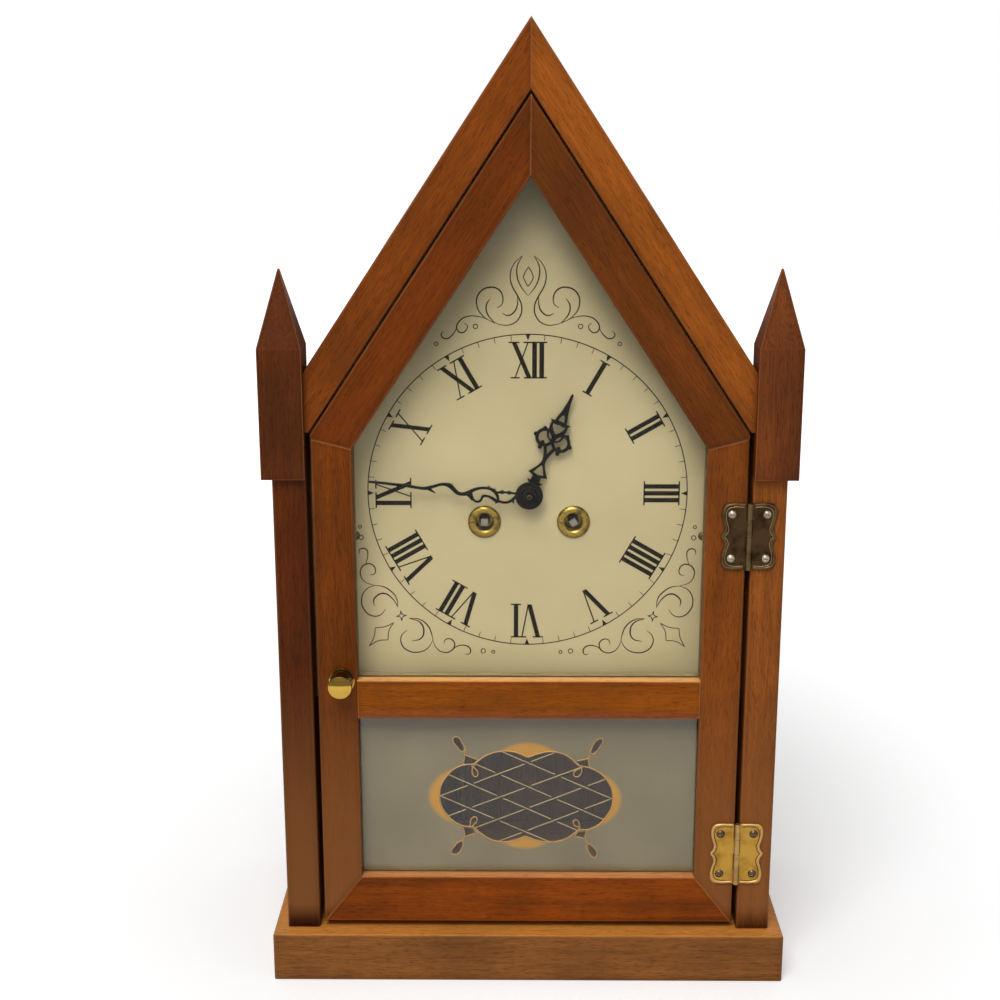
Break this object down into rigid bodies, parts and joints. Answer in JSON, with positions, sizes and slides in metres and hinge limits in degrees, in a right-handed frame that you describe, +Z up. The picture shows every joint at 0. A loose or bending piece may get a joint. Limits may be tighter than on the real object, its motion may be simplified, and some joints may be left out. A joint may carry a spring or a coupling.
{
  "type": "steeple shelf clock",
  "caption": "Steeple shelf clock: pointed wooden case with spire finials, glazed door on side hinges, Roman dial, pierced hands and a spring-driven time and strike movement.",
  "frame": {"origin": "centre of the base plinth's underside, where the clock rests", "axes": "+Z up to the peak, -Y out of the dial towards the viewer, +X to the viewer's right"},
  "size_m": [0.2374, 0.1306, 0.432],
  "materials": {
    "base_wood": "stained, semi-gloss lacquer",
    "panel_wood": "stained, semi-gloss lacquer",
    "left_roof_wood": "stained, semi-gloss lacquer",
    "right_roof_wood": "stained, semi-gloss lacquer",
    "left_gable_wood": "stained, semi-gloss lacquer",
    "right_gable_wood": "stained, semi-gloss lacquer",
    "column_wood": "stained, semi-gloss lacquer",
    "finial_wood": "stained, semi-gloss lacquer",
    "back_plywood": "plywood, thin stain",
    "board_plywood": "plywood, raw",
    "stile_wood": "stained, semi-gloss lacquer",
    "left_rafter_wood": "stained, semi-gloss lacquer",
    "right_rafter_wood": "stained, semi-gloss lacquer",
    "rail_wood": "stained, semi-gloss lacquer",
    "bead_wood": "stained, matt",
    "dial_paint": "cream dial enamel, printed numerals",
    "dial_screw_bronze": "darkened",
    "grommet_brass": "polished",
    "clear_glass": "clear float glass",
    "painted_glass": "back-painted with a clear window",
    "bright_hinge_brass": "polished, engraved border",
    "aged_hinge_brass": "darkened, engraved border",
    "hinge_pin_brass": "drawn wire",
    "hinge_screw_metal": "slotted round head",
    "knob_brass": "polished",
    "hand_black": "black, stamped",
    "catch_plastic": "moulded",
    "strike_steel": "plated",
    "plate_brass": "brushed",
    "wheel_brass": "machined",
    "movement_steel": "turned",
    "screw_steel": "zinc plated",
    "gong_iron": "cast, painted"
  },
  "bodies": {
    "case": {"base_plinth": "base_wood", "left_side_panel": "panel_wood", "right_side_panel": "panel_wood", "left_roof_panel": "left_roof_wood", "right_roof_panel": "right_roof_wood", "left_gable_rail": "left_gable_wood", "right_gable_rail": "right_gable_wood", "left_column": "column_wood", "right_column": "column_wood", "left_finial": "finial_wood", "right_finial": "finial_wood", "back_panel": "back_plywood", "dial_board": "board_plywood", "dial_plate": "dial_paint", "dial_screws": "dial_screw_bronze", "winding_grommets": "grommet_brass", "upper_hinge_case_leaf": "aged_hinge_brass", "lower_hinge_case_leaf": "bright_hinge_brass", "case_hinge_screws": "hinge_screw_metal", "hinge_pins": "hinge_pin_brass", "magnet_catch": "catch_plastic", "movement_front_plate": "plate_brass", "movement_back_plate": "plate_brass", "movement_pillars": "movement_steel", "pillar_nuts": "movement_steel", "steel_wood_screws": "screw_steel", "gong_block": "gong_iron", "gong_rod": "movement_steel"},
    "door": {"door_left_stile": "stile_wood", "door_right_stile": "stile_wood", "door_left_rafter": "left_rafter_wood", "door_right_rafter": "right_rafter_wood", "door_bottom_rail": "rail_wood", "door_middle_rail": "rail_wood", "dial_glass": "clear_glass", "tablet_glass": "painted_glass", "glazing_beads": "bead_wood", "door_knob": "knob_brass", "strike_plate": "strike_steel", "upper_hinge_door_leaf": "aged_hinge_brass", "lower_hinge_door_leaf": "bright_hinge_brass", "door_hinge_screws": "hinge_screw_metal"},
    "centre_arbor": {"minute_hand": "hand_black", "hand_nut": "hand_black", "cannon_pinion": "wheel_brass", "centre_wheel": "wheel_brass"},
    "hour_pipe": {"hour_hand": "hand_black", "hour_wheel": "wheel_brass"},
    "minute_wheel": {"minute_wheel": "wheel_brass"},
    "second_wheel": {"second_wheel": "wheel_brass"},
    "third_wheel": {"third_wheel": "wheel_brass"},
    "escape_wheel": {"escape_wheel": "wheel_brass"},
    "pallet_lever": {"pallet_lever": "movement_steel"},
    "balance_wheel": {"balance_wheel": "wheel_brass"},
    "time_barrel": {"time_barrel": "wheel_brass"},
    "time_winding_arbor": {"time_winding_arbor": "movement_steel"},
    "strike_barrel": {"strike_barrel": "wheel_brass"},
    "strike_winding_arbor": {"strike_winding_arbor": "movement_steel"},
    "strike_pin_wheel": {"strike_pin_wheel": "wheel_brass"},
    "gong_hammer": {"gong_hammer": "movement_steel"}
  },
  "joints": [
    {"name": "door_swing", "type": "hinge", "parent": "case", "child": "door", "pos_m": [0.0962, -0.0574, 0.1377], "axis": [0, 0, 1], "range_deg": [0, 140]},
    {"name": "minute_hand_turn", "type": "hinge", "parent": "case", "child": "centre_arbor", "pos_m": [0, -0.02, 0.2287], "axis": [0, 1, 0], "continuous": true},
    {"name": "hour_hand_turn", "type": "hinge", "parent": "case", "child": "hour_pipe", "pos_m": [0, -0.02, 0.2287], "axis": [0, 1, 0], "continuous": true},
    {"name": "minute_wheel_turn", "type": "hinge", "parent": "case", "child": "minute_wheel", "pos_m": [0, -0.02, 0.2427], "axis": [0, 1, 0], "continuous": true},
    {"name": "second_wheel_turn", "type": "hinge", "parent": "case", "child": "second_wheel", "pos_m": [0.0193, -0.02, 0.23699], "axis": [0, 1, 0], "continuous": true},
    {"name": "time_barrel_turn", "type": "hinge", "parent": "case", "child": "time_barrel", "pos_m": [0.02, -0.02, 0.2154], "axis": [0, 1, 0], "continuous": true},
    {"name": "third_wheel_turn", "type": "hinge", "parent": "case", "child": "third_wheel", "pos_m": [-0.00466, -0.02, 0.24609], "axis": [0, 1, 0], "continuous": true},
    {"name": "escape_wheel_turn", "type": "hinge", "parent": "case", "child": "escape_wheel", "pos_m": [-0.00114, -0.02, 0.25922], "axis": [0, 1, 0], "continuous": true},
    {"name": "balance_swing", "type": "hinge", "parent": "case", "child": "balance_wheel", "pos_m": [0.01974, -0.02, 0.26352], "axis": [0, 1, 0], "range_deg": [-220, 220], "stiffness_Nm_per_rad": 0.00006},
    {"name": "pallet_rock", "type": "hinge", "parent": "case", "child": "pallet_lever", "pos_m": [0.00779, -0.02, 0.26247], "axis": [0, 1, 0], "range_deg": [-3, 3]},
    {"name": "time_winding", "type": "hinge", "parent": "case", "child": "time_winding_arbor", "pos_m": [0.02, -0.02, 0.2154], "axis": [0, 1, 0], "range_deg": [0, 2520]},
    {"name": "strike_barrel_turn", "type": "hinge", "parent": "case", "child": "strike_barrel", "pos_m": [-0.02, -0.02, 0.2154], "axis": [0, 1, 0], "continuous": true},
    {"name": "strike_pin_wheel_turn", "type": "hinge", "parent": "case", "child": "strike_pin_wheel", "pos_m": [-0.02913, -0.02, 0.23498], "axis": [0, 1, 0], "continuous": true},
    {"name": "strike_winding", "type": "hinge", "parent": "case", "child": "strike_winding_arbor", "pos_m": [-0.02, -0.02, 0.2154], "axis": [0, 1, 0], "range_deg": [0, 2520]},
    {"name": "hammer_lift", "type": "hinge", "parent": "case", "child": "gong_hammer", "pos_m": [-0.04385, -0.02, 0.24348], "axis": [0, 1, 0], "range_deg": [0, 8], "stiffness_Nm_per_rad": 0.005}
  ],
  "couplings": [
    {"joint": "hour_hand_turn", "follows": "minute_hand_turn", "ratio": 0.083333},
    {"joint": "minute_wheel_turn", "follows": "minute_hand_turn", "ratio": -0.33333},
    {"joint": "second_wheel_turn", "follows": "minute_hand_turn", "ratio": -0.16667},
    {"joint": "time_barrel_turn", "follows": "minute_hand_turn", "ratio": 0.026882},
    {"joint": "third_wheel_turn", "follows": "minute_hand_turn", "ratio": -8},
    {"joint": "escape_wheel_turn", "follows": "minute_hand_turn", "ratio": 60},
    {"joint": "pallet_rock", "follows": "balance_swing", "ratio": 0.013636},
    {"joint": "strike_pin_wheel_turn", "follows": "strike_barrel_turn", "ratio": -6.2}
  ]
}
